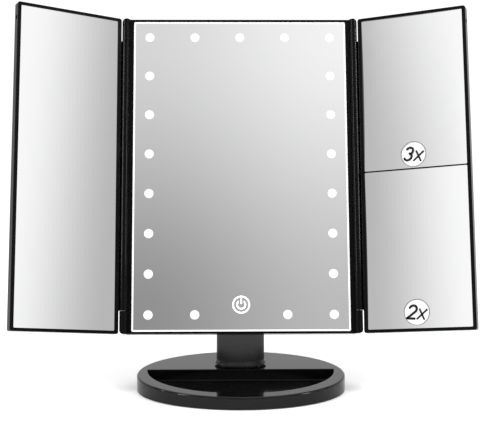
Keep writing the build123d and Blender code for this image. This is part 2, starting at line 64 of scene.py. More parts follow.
@dataclass(frozen=True)
class PanelFrame:
    """Flat reference frame of one panel: across it, up it, and out of its mirror."""

    origin: Vector
    across: Vector
    up: Vector
    out: Vector

    def place(self, u: float, v: float, w: float) -> Vector:
        """Point `u` across, `v` up and `w` out of the panel, in the model's frame."""
        return self.origin + self.across * u + self.up * v + self.out * w

    def matrix(self, u: float = 0.0, v: float = 0.0, w: float = 0.0) -> Matrix:
        """Matrix whose X, Y and Z run across, up and out of the panel from a point on it."""
        turn = Matrix((self.across, self.up, self.out)).transposed().to_4x4()
        return Matrix.Translation(self.place(u, v, w)) @ turn

    def span(self, node: str, along: Vector) -> tuple[float, float]:
        """Lowest and highest reach of a CAD node along a direction, from this frame's origin.

        Args:
            node: name of the CAD node.
            along: unit direction in the model's frame.

        Returns:
            The two distances, in metres.
        """
        reach = [(vert.co - self.origin).dot(along) for vert in frame["nodes"][node].data.vertices]
        return min(reach), max(reach)

    def centre_of(self, node: str) -> tuple[float, float, float]:
        """Middle of a CAD node across and up the panel, and its foremost reach out of it."""
        across = self.span(node, self.across)
        up = self.span(node, self.up)
        return sum(across) / 2, sum(up) / 2, self.span(node, self.out)[1]


def joint_named(name: str) -> dict:
    """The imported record's joint of that name."""
    return next(joint for joint in frame["joints"] if joint["name"] == name)


def head_frame() -> PanelFrame:
    """Frame of the centre panel, midway between the two wing hinges."""
    left = Vector(joint_named("left_wing_hinge")["pos_m"])
    right = Vector(joint_named("right_wing_hinge")["pos_m"])
    across = (right - left).normalized()
    up = Vector(joint_named("left_wing_hinge")["axis"]).normalized()
    return PanelFrame((left + right) / 2, across, up, across.cross(up).normalized())


def wing_frame(side: Side) -> PanelFrame:
    """Frame of one wing at rest, on its hinge axis and turned by how far it stands open.

    Args:
        side: which wing.

    Returns:
        The wing's frame, with `across` still pointing to +X.
    """
    joint = joint_named(f"{side.name.lower()}_wing_hinge")
    head = head_frame()
    swing = math.radians(-joint["range_deg"][0]) * side.value
    across = head.across * math.cos(swing) + head.out * math.sin(swing)
    return PanelFrame(Vector(joint["pos_m"]), across, head.up, across.cross(head.up).normalized())


# ---- shader building ------------------------------------------------------------------------
class Paint:
    """One material and the shader graph round its surface shader."""

    def __init__(self, name: str, surface: dict[str, object]) -> None:
        """Starts a material.

        Args:
            name: the material's name.
            surface: even values for the surface shader's own sockets, by socket name.
        """
        self.material = bpy.data.materials.new(name)
        self.material.use_nodes = True
        self.tree = self.material.node_tree
        self.surface = self.tree.nodes["Principled BSDF"]
        for socket, value in surface.items():
            self.surface.inputs[socket].default_value = value

    def node(self, kind: str, inputs: dict[object, object], **settings: object) -> bpy.types.Node:
        """Adds a node, with sockets set to values or linked to other nodes' outputs.

        Args:
            kind: Blender's type name of the node.
            inputs: values or output sockets, by input name or number.
            settings: the node's own properties.

        Returns:
            The new node.
        """
        made = self.tree.nodes.new(kind)
        for key, value in settings.items():
            setattr(made, key, value)
        for key, value in inputs.items():
            if isinstance(value, bpy.types.NodeSocket):
                self.tree.links.new(value, made.inputs[key])
            else:
                made.inputs[key].default_value = value
        return made

    def place(self) -> bpy.types.NodeSocket:
        """Position on the object, in metres, which stays with it when it moves."""
        return self.node("ShaderNodeTexCoord", {}).outputs["Object"]

    def stretched(self, scale: tuple[float, float, float]) -> bpy.types.NodeSocket:
        """Object position scaled differently along X, Y and Z, for streaks and brushing."""
        return self.node("ShaderNodeMapping", {"Vector": self.place(), "Scale": scale}).outputs[0]

    def noise(self, scale: float, detail: float = 3.0,
              at: bpy.types.NodeSocket | None = None) -> bpy.types.NodeSocket:
        """Cloudy noise, `scale` features to the metre, at the object's position or at `at`."""
        inputs = {"Vector": at or self.place(), "Scale": scale, "Detail": detail}
        return self.node("ShaderNodeTexNoise", inputs).outputs["Fac"]

    def cells(self, scale: float) -> bpy.types.NodeSocket:
        """Distance to the nearest of scattered points, `scale` of them to the metre."""
        inputs = {"Vector": self.place(), "Scale": scale}
        return self.node("ShaderNodeTexVoronoi", inputs).outputs["Distance"]

    def maths(self, operation: str, *values: object) -> bpy.types.NodeSocket:
        """Arithmetic on sockets and numbers."""
        return self.node("ShaderNodeMath", dict(enumerate(values)), operation=operation).outputs[0]

    def span(self, value: bpy.types.NodeSocket, low: float, high: float,
             to_low: float = 0.0, to_high: float = 1.0) -> bpy.types.NodeSocket:
        """Turns the range low..high of a value smoothly into to_low..to_high."""
        inputs = {"Value": value, "From Min": low, "From Max": high, "To Min": to_low, "To Max": to_high}
        return self.node("ShaderNodeMapRange", inputs, interpolation_type="SMOOTHSTEP").outputs["Result"]

    def tint(self, share: bpy.types.NodeSocket, plain: object, other: object) -> bpy.types.NodeSocket:
        """Colour that goes from `plain` to `other` as share goes from 0 to 1."""
        inputs = {0: share, 6: plain, 7: other}
        return self.node("ShaderNodeMix", inputs, data_type="RGBA").outputs[2]

    def relief(self, height: bpy.types.NodeSocket, depth: float,
               over: bpy.types.NodeSocket | None = None) -> bpy.types.NodeSocket:
        """Bumped surface direction.

        Args:
            height: 0 to 1 height pattern.
            depth: what a height of 1 stands for, in metres.
            over: surface direction already bent by something else.

        Returns:
            The direction, for the shader's Normal socket.
        """
        inputs = {"Height": height, "Distance": depth, "Strength": 1.0}
        if over is not None:
            inputs["Normal"] = over
        return self.node("ShaderNodeBump", inputs).outputs["Normal"]

    def rounded(self, radius: float) -> bpy.types.NodeSocket:
        """Surface direction with every sharp edge rounded off at `radius`."""
        return self.node("ShaderNodeBevel", {"Radius": radius}, samples=6).outputs["Normal"]

    def edges(self, rounded: bpy.types.NodeSocket) -> bpy.types.NodeSocket:
        """0 on flat faces rising to 1 along edges, for rubbed corners."""
        true = self.node("ShaderNodeNewGeometry", {}).outputs["Normal"]
        dot = self.node("ShaderNodeVectorMath", {0: rounded, 1: true}, operation="DOT_PRODUCT")
        return self.span(dot.outputs["Value"], 0.99, 0.80)

    def facing_up(self) -> bpy.types.NodeSocket:
        """1 where the surface faces up, 0 on walls, for settled dust."""
        normal = self.node("ShaderNodeNewGeometry", {}).outputs["Normal"]
        height = self.node("ShaderNodeSeparateXYZ", {0: normal}).outputs[2]
        return self.span(height, 0.6, 1.0)

    def to(self, socket: str, value: bpy.types.NodeSocket) -> None:
        """Links an output to one of the surface shader's sockets."""
        self.tree.links.new(value, self.surface.inputs[socket])


def grey(level: float) -> tuple[float, float, float, float]:
    """Neutral colour of that linear brightness."""
    return (level, level, level, 1.0)


def shaded(colour: tuple[float, float, float], share: float = 1.0,
           lift: float = 0.0) -> tuple[float, float, float, float]:
    """The colour with its brightness multiplied by `share` and raised by `lift`."""
    return tuple(c * share + lift for c in colour) + (1.0,)


# ---- finishes -------------------------------------------------------------------------------
@dataclass(frozen=True)
class MouldedPlastic:
    """Injection-moulded plastic: skin texture, handling marks, rubbed edges and a little dust."""

    name: str
    colour: tuple[float, float, float]
    rough: float
    smudge: float = 0.06          # how far handling marks raise the roughness
    skin_scale: float = 900.0     # skin bumps to the metre
    skin_depth: float = 0.02 * MM
    specular: float = 0.5
    edge: float = 0.25 * MM       # radius that sharp edges are softened to
    dust: float = 0.02            # how much paler settled dust makes an upper face
    wear: float = 0.03            # how much paler rubbed edges are

    def build(self) -> bpy.types.Material:
        """Makes the material."""
        paint = Paint(self.name, {"Specular IOR Level": self.specular})
        smudges = paint.span(paint.noise(38.0, 5.0), 0.35, 0.75)
        rounded = paint.rounded(self.edge)
        patches = paint.span(paint.noise(220.0, 4.0), 0.35, 0.7)
        rubbed = paint.maths("MULTIPLY", paint.edges(rounded), patches)
        cloudy = paint.tint(smudges, shaded(self.colour), shaded(self.colour, 1.35))
        worn = paint.tint(rubbed, cloudy, shaded(self.colour, 1.6, self.wear))
        specks = paint.maths("MULTIPLY", paint.span(paint.cells(520.0), 0.16, 0.04), self.dust * 4)
        settled = paint.maths("MULTIPLY", paint.facing_up(), specks)
        film = paint.span(paint.noise(14.0, 2.0), 0.3, 0.8, 0, self.dust)
        haze = paint.maths("MULTIPLY", paint.facing_up(), film)
        paint.to("Base Color", paint.tint(paint.maths("ADD", settled, haze), worn, grey(0.6)))
        streaks = paint.noise(60.0, 6.0, paint.stretched((1.0, 1.0, 14.0)))
        marks = paint.maths("ADD", paint.span(streaks, 0.55, 0.8, 0.0, self.smudge * 0.6),
                            paint.span(smudges, 0.0, 1.0, self.rough, self.rough + self.smudge))
        paint.to("Roughness", paint.maths("ADD", marks, paint.maths("MULTIPLY", rubbed, 0.12)))
        paint.to("Normal", paint.relief(paint.noise(self.skin_scale, 2.0), self.skin_depth, over=rounded))
        return paint.material


@dataclass(frozen=True)
class SilveredGlass:
    """Mirror glass, with the faintest film of fingerprints on it."""

    name: str
    colour: tuple[float, float, float] = (0.935, 0.94, 0.938)

    def build(self) -> bpy.types.Material:
        """Makes the material."""
        paint = Paint(self.name, {"Metallic": 1.0})
        film = paint.span(paint.noise(17.0, 6.0), 0.48, 0.80)
        ridges = paint.span(paint.noise(900.0, 3.0, paint.stretched((1.0, 3.0, 1.0))), 0.4, 0.7)
        print_marks = paint.maths("MULTIPLY", film, ridges)
        paint.to("Base Color", paint.tint(print_marks, shaded(self.colour), shaded(self.colour, 0.985)))
        paint.to("Roughness", paint.span(print_marks, 0.0, 1.0, 0.004, 0.03))
        return paint.material


@dataclass(frozen=True)
class LitFrost:
    """Frosted light window with a diode close behind: bright in the middle, softer at its rim."""

    name: str
    panel: PanelFrame
    pitch: tuple[float, float]     # spacing of the windows across and up the panel
    offset: tuple[float, float]    # one window's middle
    radius: float
    glow: float = 1.1
    rim_glow: float = 0.05
    core: float = 0.55             # share of the radius that is fully bright
    lead: float = 20.5             # steps added, so that each window is mid-step and none is negative

    def build(self) -> bpy.types.Material:
        """Makes the material."""
        paint = Paint(self.name, {"Roughness": 0.35, "Emission Color": (1.0, 1.0, 1.0, 1.0)})
        from_panel = paint.node("ShaderNodeVectorMath", {0: paint.place(), 1: tuple(self.panel.origin)},
                                operation="SUBTRACT").outputs[0]
        squares = []
        for along, step, start in zip((self.panel.across, self.panel.up), self.pitch, self.offset):
            dot = paint.node("ShaderNodeVectorMath", {0: from_panel, 1: tuple(along)},
                             operation="DOT_PRODUCT")
            shifted = paint.maths("ADD", dot.outputs["Value"], self.lead * step - start)
            away = paint.maths("SUBTRACT", paint.maths("MODULO", shifted, step), step / 2)
            squares.append(paint.maths("MULTIPLY", away, away))
        distance = paint.maths("SQRT", paint.maths("ADD", *squares))
        glow = paint.span(distance, self.radius * self.core, self.radius, self.glow, self.rim_glow)
        paint.to("Emission Strength", glow)
        frost = paint.noise(2600.0, 3.0)
        paint.to("Base Color", paint.tint(frost, grey(0.58), grey(0.50)))
        paint.to("Normal", paint.relief(frost, 0.02 * MM))
        return paint.material


@dataclass(frozen=True)
class GlowingPlastic:
    """White light-carrying plastic that passes on some of the diodes' light."""

    name: str
    glow: float
    colour: tuple[float, float, float] = (0.9, 0.9, 0.89)

    def build(self) -> bpy.types.Material:
        """Makes the material."""
        paint = Paint(self.name, {"Roughness": 0.4, "Emission Color": (1.0, 1.0, 1.0, 1.0)})
        cloud = paint.noise(55.0, 3.0)
        paint.to("Base Color", paint.tint(cloud, shaded(self.colour), shaded(self.colour, 0.93)))
        paint.to("Emission Strength", paint.span(cloud, 0.3, 0.7, self.glow, self.glow * 1.2))
        paint.to("Normal", paint.relief(paint.noise(1500.0, 2.0), 0.01 * MM))
        return paint.material


@dataclass(frozen=True)
class PlatedMetal:
    """Plated steel or stamped shell: fine brushing and a few dull spots."""

    name: str
    colour: tuple[float, float, float]
    rough: float = 0.24
    brushing: tuple[float, float, float] = (40.0, 1.0, 1.0)

    def build(self) -> bpy.types.Material:
        """Makes the material."""
        paint = Paint(self.name, {"Metallic": 1.0})
        brushed = paint.noise(700.0, 4.0, paint.stretched(self.brushing))
        dull = paint.span(paint.noise(160.0, 4.0), 0.5, 0.75)
        rounded = paint.rounded(0.12 * MM)
        paint.to("Base Color", paint.tint(dull, shaded(self.colour), shaded(self.colour, 0.62)))
        grooves = paint.span(brushed, 0.3, 0.7, self.rough, self.rough + 0.12)
        paint.to("Roughness", paint.maths("ADD", grooves, paint.maths("MULTIPLY", dull, 0.15)))
        paint.to("Normal", paint.relief(brushed, 0.006 * MM, over=rounded))
        return paint.material


@dataclass(frozen=True)
class SoftRubber:
    """Matt rubber or foam: open grain and a dusty bloom."""

    name: str
    colour: tuple[float, float, float]
    grain: float = 1400.0
    depth: float = 0.06 * MM

    def build(self) -> bpy.types.Material:
        """Makes the material."""
        paint = Paint(self.name, {"Specular IOR Level": 0.3})
        grain = paint.noise(self.grain, 4.0)
        bloom = paint.span(paint.noise(90.0, 3.0), 0.4, 0.75)
        paint.to("Base Color", paint.tint(bloom, shaded(self.colour), shaded(self.colour, 1.4, 0.012)))
        paint.to("Roughness", paint.span(grain, 0.2, 0.8, 0.68, 0.95))
        paint.to("Normal", paint.relief(grain, self.depth))
        return paint.material


@dataclass(frozen=True)
class CircuitBoard:
    """Solder-masked laminate: copper runs showing as slightly raised, slightly paler lines."""

    name: str
    colour: tuple[float, float, float]
    copper: tuple[float, float, float]
    run_pitch: float = 420.0

    def build(self) -> bpy.types.Material:
        """Makes the material."""
        paint = Paint(self.name, {"Specular IOR Level": 0.5})
        bricks = paint.node("ShaderNodeTexBrick", {"Vector": paint.place(), "Scale": self.run_pitch,
                                                   "Mortar Size": 0.05, "Mortar Smooth": 0.4})
        runs = bricks.outputs["Fac"]
        paint.to("Base Color", paint.tint(runs, shaded(self.colour), shaded(self.copper)))
        paint.to("Roughness", paint.span(paint.noise(300.0, 3.0), 0.3, 0.7, 0.28, 0.45))
        paint.to("Normal", paint.relief(runs, 0.03 * MM))
        return paint.material


@dataclass(frozen=True)
class CellJacket:
    """Shrunk sleeve of a dry cell: two plain bands across it, with a fine ripple along the sleeve."""

    name: str
    split_x: float                # where the pale band starts
    dark: tuple[float, float, float] = (0.02, 0.05, 0.045)
    pale: tuple[float, float, float] = (0.55, 0.42, 0.2)
    blur: float = 0.1 * MM        # half the width of the change from band to band

    def build(self) -> bpy.types.Material:
        """Makes the material."""
        paint = Paint(self.name, {"Metallic": 0.35})
        along = paint.node("ShaderNodeSeparateXYZ", {0: paint.place()}).outputs[0]
        pale = paint.span(along, self.split_x - self.blur, self.split_x + self.blur)
        cloud = paint.noise(180.0, 3.0)
        dark = paint.tint(cloud, shaded(self.dark), shaded(self.dark, 1.5))
        paint.to("Base Color", paint.tint(pale, dark, shaded(self.pale)))
        paint.to("Roughness", paint.span(cloud, 0.3, 0.7, 0.26, 0.4))
        ripple = paint.noise(500.0, 2.0, paint.stretched((1.0, 6.0, 6.0)))
        paint.to("Normal", paint.relief(ripple, 0.02 * MM))
        return paint.material


@dataclass(frozen=True)
class PrintedFilm:
    """Thin printed or plain film: near-even colour with paper mottle and a low gloss."""

    name: str
    colour: tuple[float, float, float]
    rough: float = 0.42
    mottle: float = 0.06

    def build(self) -> bpy.types.Material:
        """Makes the material."""
        paint = Paint(self.name, {"Specular IOR Level": 0.4})
        mottle = paint.noise(700.0, 4.0)
        paint.to("Base Color", paint.tint(mottle, shaded(self.colour), shaded(self.colour, 1 - self.mottle)))
        paint.to("Roughness", paint.span(mottle, 0.3, 0.7, self.rough, self.rough + 0.12))
        paint.to("Normal", paint.relief(mottle, 0.008 * MM))
        return paint.material


def dress(material: bpy.types.Material, *nodes: str) -> None:
    """Gives CAD nodes their finish, in every material slot they have.

    Args:
        material: the finish.
        nodes: names of the CAD nodes.
    """
    for node in nodes:
        for mesh_slot in frame["nodes"][node].material_slots:
            mesh_slot.material = material
        LOG.info("%s: %s", node, material.name)


# ---- pieces made here -----------------------------------------------------------------------
def arc(x: float, y: float, radius: float, start: float, end: float, steps: int = 18) -> list[Vector]:
    """Points round an arc, in the plane of a label.

    Args:
        x: centre's place across.
        y: centre's place up.
        radius: the arc's radius.
        start: first angle in degrees, from +X.
        end: last angle in degrees.
        steps: number of runs.

    Returns:
        The points, first to last.
    """
    turns = [math.radians(start + (end - start) * i / steps) for i in range(steps + 1)]
    return [Vector((x + radius * math.cos(t), y + radius * math.sin(t))) for t in turns]


def pen_outline(path: list[Vector], width: float) -> list[Vector]:
    """Closed outline of a round-ended pen stroke along a path.

    Args:
        path: points along the stroke's middle.
        width: the stroke's width.

    Returns:
        Outline points, once round.
    """
    half = width / 2
    last = len(path) - 1
    headings = [(path[min(i + 1, last)] - path[max(i - 1, 0)]).normalized() for i in range(last + 1)]
    sides = [Vector((-h.y, h.x)) * half for h in headings]
    right = [p - s for p, s in zip(path, sides)]
    left = [p + s for p, s in zip(path, sides)]
    caps = []
    for point, heading in ((path[-1], headings[-1]), (path[0], -headings[0])):
        toward = math.degrees(math.atan2(heading.y, heading.x))
        caps.append(arc(point.x, point.y, half, toward - 90, toward + 90, 8)[1:-1])
    return right + caps[0] + left[::-1] + caps[1]


def finish_piece(name: str, shape: bmesh.types.BMesh, place: Matrix,
                 finish: bpy.types.Material, body: str) -> None:
    """Turns a built shape into a finished piece that moves with its body.

    Args:
        name: the piece's name.
        shape: the shape, which is used up.
        place: matrix whose Z leaves the surface it stands on.
        finish: the piece's material.
        body: the body it moves with.
    """
    bmesh.ops.recalc_face_normals(shape, faces=shape.faces)
    mesh = bpy.data.meshes.new(name)
    shape.to_mesh(mesh)
    shape.free()
    mesh.transform(place)
    piece = bpy.data.objects.new(name, mesh)
    bpy.context.scene.collection.objects.link(piece)
    mesh.materials.append(finish)
    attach(piece, body)
    LOG.info("%s: %d faces on %s", name, len(mesh.polygons), body)


def raised(name: str, outlines: list[list[Vector]], height: float, place: Matrix,
           finish: bpy.types.Material, body: str) -> None:
    """Flat raised shapes, such as print or moulded marks, standing on a surface.

    Args:
        name: the piece's name.
        outlines: closed outlines in the surface's plane.
        height: how far the shapes stand up.
        place: matrix whose Z leaves the surface.
        finish: the piece's material.
        body: the body it moves with.
    """
    shape = bmesh.new()
    for outline in outlines:
        corners = [shape.verts.new((p.x, p.y, 0.0)) for p in outline]
        face = shape.faces.new(corners)
        lifted = bmesh.ops.extrude_face_region(shape, geom=[face])["geom"]
        moved = [part for part in lifted if isinstance(part, bmesh.types.BMVert)]
        bmesh.ops.translate(shape, verts=moved, vec=(0.0, 0.0, height))
    finish_piece(name, shape, place, finish, body)


def band(name: str, inner: float, outer: float, height: float, place: Matrix,
         finish: bpy.types.Material, body: str, steps: int = 72) -> None:
    """Flat raised ring, centred on a point of a surface.

    Args:
        name: the piece's name.
        inner: inner radius.
        outer: outer radius.
        height: how far it stands up.
        place: matrix whose Z leaves the surface.
        finish: the piece's material.
        body: the body it moves with.
        steps: runs round the ring.
    """
    shape = bmesh.new()
    loops = []
    for radius, level in ((inner, 0.0), (outer, 0.0), (outer, height), (inner, height)):
        circle = arc(0.0, 0.0, radius, 0, 360, steps)[:-1]
        loops.append([shape.verts.new((p.x, p.y, level)) for p in circle])
    for near, far in zip(loops, loops[1:] + loops[:1]):
        for i in range(steps):
            shape.faces.new((near[i], near[i - 1], far[i - 1], far[i]))
    finish_piece(name, shape, place, finish, body)


class Glyph(Enum):
    """Characters of the magnifier labels, drawn in a square of side 1."""

    THREE = "3"
    TWO = "2"
    TIMES = "x"

    def strokes(self) -> list[list[Vector]]:
        """Middle lines of the character's pen strokes."""
        if self is Glyph.THREE:
            return [arc(0.30, 0.735, 0.265, 150, -65), arc(0.29, 0.275, 0.275, 78, -152)]
        if self is Glyph.TWO:
            top = arc(0.31, 0.70, 0.29, 158, -38)
            return [top + [Vector((0.03, 0.0))], [Vector((0.03, 0.0)), Vector((0.62, 0.0))]]
        return [[Vector((0.0, 0.82)), Vector((0.60, 0.0))], [Vector((0.62, 0.82)), Vector((0.0, 0.0))]]


# ---- sub-assemblies -------------------------------------------------------------------------
@dataclass
class Stand:
    """Oval tray base on rubber feet, its ballast, and the post that carries the head."""

    base_rough: float = 0.07
    post_rough: float = 0.22

    def dress(self) -> None:
        """Finishes the stand's pieces."""
        base = MouldedPlastic("base_black", (0.0022, 0.0022, 0.0024), self.base_rough, smudge=0.05,
                              skin_scale=1500.0, skin_depth=0.002 * MM, specular=0.20,
                              edge=0.3 * MM, dust=0.0006, wear=0.008)
        post = MouldedPlastic("post_black", (0.009, 0.009, 0.0095), self.post_rough,
                              smudge=0.02, skin_depth=0.002 * MM, specular=0.40, dust=0.0006, wear=0.006)
        plate = MouldedPlastic("plate_black", (0.02, 0.02, 0.021), 0.5, skin_depth=0.05 * MM)
        dress(base.build(), "base_shell")
        dress(post.build(), "post")
        dress(plate.build(), "base_plate")
        dress(PlatedMetal("ballast_steel", (0.33, 0.32, 0.31), 0.42).build(), "base_weight")
        dress(SoftRubber("foot_rubber", (0.03, 0.03, 0.031)).build(), "rubber_feet")


@dataclass
class CentrePanel:
    """Front frame, lit mirror, its windows and touch key, and the hinge lugs at the corners."""

    window_pitch: tuple[float, float] = (34.45 * MM, 30.39 * MM)
    window_radius: float = 3.5 * MM
    lip_glow: float = 0.08
    key_glow: float = 0.80

    def dress(self, gloss: bpy.types.Material, mirror: bpy.types.Material) -> None:
        """Finishes the panel's pieces.

        Args:
            gloss: the frames' gloss black.
            mirror: the silvered glass.
        """
        panel = head_frame()
        bottom = panel.span("led_windows", panel.up)[0] + self.window_radius
        windows = LitFrost("lit_windows", panel, self.window_pitch, (0.0, bottom), self.window_radius)
        dress(gloss, "centre_frame")
        dress(mirror, "centre_mirror")
        dress(windows.build(), "led_windows")
        dress(GlowingPlastic("touch_key_glow", self.key_glow).build(), "touch_icon")
        dress(GlowingPlastic("carrier_white", self.lip_glow).build(), "mirror_carrier")
        dress(PrintedFilm("diode_yellow", (0.86, 0.80, 0.42), 0.3).build(), "leds")
        white_board = CircuitBoard("board_white", (0.82, 0.82, 0.80), (0.74, 0.70, 0.60))
        dress(white_board.build(), "led_boards")


@dataclass
class RearHousing:
    """Rear cover with the battery bay, its door, the slide switch, the boards and the socket."""

    mark_height: float = 0.12 * MM
    mark_width: float = 0.5 * MM
    mark_size: float = 2.6 * MM
    mark_gap: float = 5.8 * MM       # from the knob's middle to each mark's
    ring_steps: int = 32
    pale_share: float = 0.3          # how much of each cell's length is its pale band

    def dress(self, satin: bpy.types.Material) -> None:
        """Finishes the housing's pieces.

        Args:
            satin: the covers' satin black.
        """
        low, high = (corner.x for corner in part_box("aaa_cells"))
        green = CircuitBoard("board_green", (0.012, 0.10, 0.035), (0.03, 0.19, 0.07))
        dress(satin, "rear_cover", "battery_door", "tilt_bracket")
        grip = MouldedPlastic("knob_black", (0.03, 0.03, 0.031), 0.42, skin_depth=0.03 * MM)
        dress(grip.build(), "switch_knob")
        dress(green.build(), "control_board", "touch_board")
        dress(PrintedFilm("chip_black", (0.025, 0.025, 0.027), 0.5, 0.3).build(), "board_parts")
        nickel = PlatedMetal("nickel_shell", (0.62, 0.60, 0.56), 0.2, (1.0, 30.0, 1.0))
        dress(nickel.build(), "usb_socket", "switch_case", "battery_contacts")
        dress(CellJacket("cell_jacket", high - (high - low) * self.pale_share).build(), "aaa_cells")
        dress(SoftRubber("wire_red", (0.42, 0.02, 0.015), 900.0, 0.02 * MM).build(), "lead_wires")

    def mark_switch(self, satin: bpy.types.Material) -> None:
        """Raises the usual line and circle beside the slide switch, for on and off.

        Args:
            satin: the cover's satin black.
        """
        panel = head_frame()
        u = sum(panel.span("switch_knob", panel.across)) / 2
        v = sum(panel.span("switch_knob", panel.up)) / 2
        back = panel.span("rear_cover", panel.out)[0]
        turn = Matrix.Rotation(math.pi, 4, "Y")
        for name, side in (("switch_mark_off", -1), ("switch_mark_on", 1)):
            place = panel.matrix(u + side * self.mark_gap, v, back) @ turn
            if side > 0:
                line = [Vector((0, -self.mark_size / 2)), Vector((0, self.mark_size / 2))]
                raised(name, [pen_outline(line, self.mark_width)], self.mark_height, place,
                       satin, "head")
            else:
                outer = self.mark_size / 2 + self.mark_width / 2
                band(name, outer - self.mark_width, outer, self.mark_height, place,
                     satin, "head", self.ring_steps)


@dataclass
class Wing:
    """One folding wing: its frame, back, and the pieces that hold its mirror."""

    side: Side

    def dress(self, gloss: bpy.types.Material, satin: bpy.types.Material) -> None:
        """Finishes the wing's frame and back.

        Args:
            gloss: the frames' gloss black.
            satin: the covers' satin black.
        """
        prefix = self.side.name.lower()
        dress(gloss, f"{prefix}_frame")
        dress(satin, f"{prefix}_back")


@dataclass
class PlainWing(Wing):
    """The wing with one plain mirror, held on foam tape."""

    side: Side = Side.LEFT

    def dress_mirror(self, mirror: bpy.types.Material) -> None:
        """Finishes the wing's mirror and tape."""
        dress(mirror, "left_mirror")
        dress(SoftRubber("foam_white", (0.72, 0.72, 0.70), 2200.0).build(), "left_tape")


@dataclass
class MagnifierWing(Wing):
    """The wing with two concave mirrors, each with a small round label."""

    side: Side = Side.RIGHT
    letter_height: float = 9.6 * MM
    times_height: float = 8.6 * MM
    pen: float = 1.7 * MM
    times_pen: float = 1.3 * MM
    slant: float = 0.20
    figure_share: float = 0.66      # a figure's width over its height
    figure_shift: float = 0.4 * MM  # moves the figure left, so that the pair looks centred
    letter_gap: float = 1.2 * MM
    ink_height: float = 0.03 * MM
    ring_width: float = 0.6 * MM
    ring_inset: float = 0.1 * MM
    tilt: float = 5.0               # degrees the print is turned on its label
    powers: dict[str, Glyph] = field(default_factory=lambda: {"3x": Glyph.THREE, "2x": Glyph.TWO})

    def dress_mirrors(self, mirror: bpy.types.Material) -> None:
        """Finishes the two magnifiers and the film of their labels."""
        dress(mirror, "mirror_3x", "mirror_2x")
        dress(PrintedFilm("label_film", (0.72, 0.72, 0.72), 0.5, 0.05).build(), "sticker_3x", "sticker_2x")

    def letter(self, glyph: Glyph, height: float, pen: float, at: Vector) -> list[list[Vector]]:
        """Outlines of one slanted character.

        Args:
            glyph: which character.
            height: its height.
            pen: the width of its strokes.
            at: where its lower left corner goes.

        Returns:
            One closed outline for each stroke.
        """
        outlines = []
        for stroke in glyph.strokes():
            drawn = [at + Vector((p.x + p.y * self.slant, p.y)) * height for p in stroke]
            outlines.append(pen_outline(drawn, pen))
        return outlines

    def print_labels(self) -> None:
        """Prints the magnification and a thin ring on each label."""
        panel = wing_frame(self.side)
        ink = PrintedFilm("label_ink", (0.001, 0.001, 0.0012), 0.8, 0.1).build()
        line = PrintedFilm("label_ring", (0.13, 0.13, 0.13), 0.5, 0.1).build()
        for power, glyph in self.powers.items():
            node = f"sticker_{power}"
            u, v, front = panel.centre_of(node)
            low, high = panel.span(node, panel.up)
            outer = (high - low) / 2 - self.ring_inset
            flat = panel.matrix(u, v, front)
            place = flat @ Matrix.Rotation(math.radians(-self.tilt), 4, "Z")
            left = -self.figure_share * self.letter_height - self.letter_gap / 2 - self.figure_shift
            start = Vector((left, -self.letter_height / 2))
            times = Vector((self.letter_gap / 2, -self.letter_height / 2))
            outlines = self.letter(glyph, self.letter_height, self.pen, start)
            outlines += self.letter(Glyph.TIMES, self.times_height, self.times_pen, times)
            for i, outline in enumerate(outlines):
                raised(f"label_{power}_stroke_{i + 1}", [outline], self.ink_height, place, ink,
                       "right_wing")
            band(f"label_{power}_ring", outer - self.ring_width, outer, self.ink_height / 2,
                 flat, line, "right_wing")


@dataclass
class Fasteners:
    """Screws, hinge pins and the tilt bolt, all in plated steel."""

    nodes: tuple[str, ...] = ("base_screws", "post_screws", "cover_screws", "board_screws",
                              "bracket_screws", "hinge_pins", "tilt_bolt", "tilt_nut")

    def dress(self) -> None:
        """Finishes the fasteners."""
        dress(PlatedMetal("plated_steel", (0.50, 0.50, 0.51)).build(), *self.nodes)


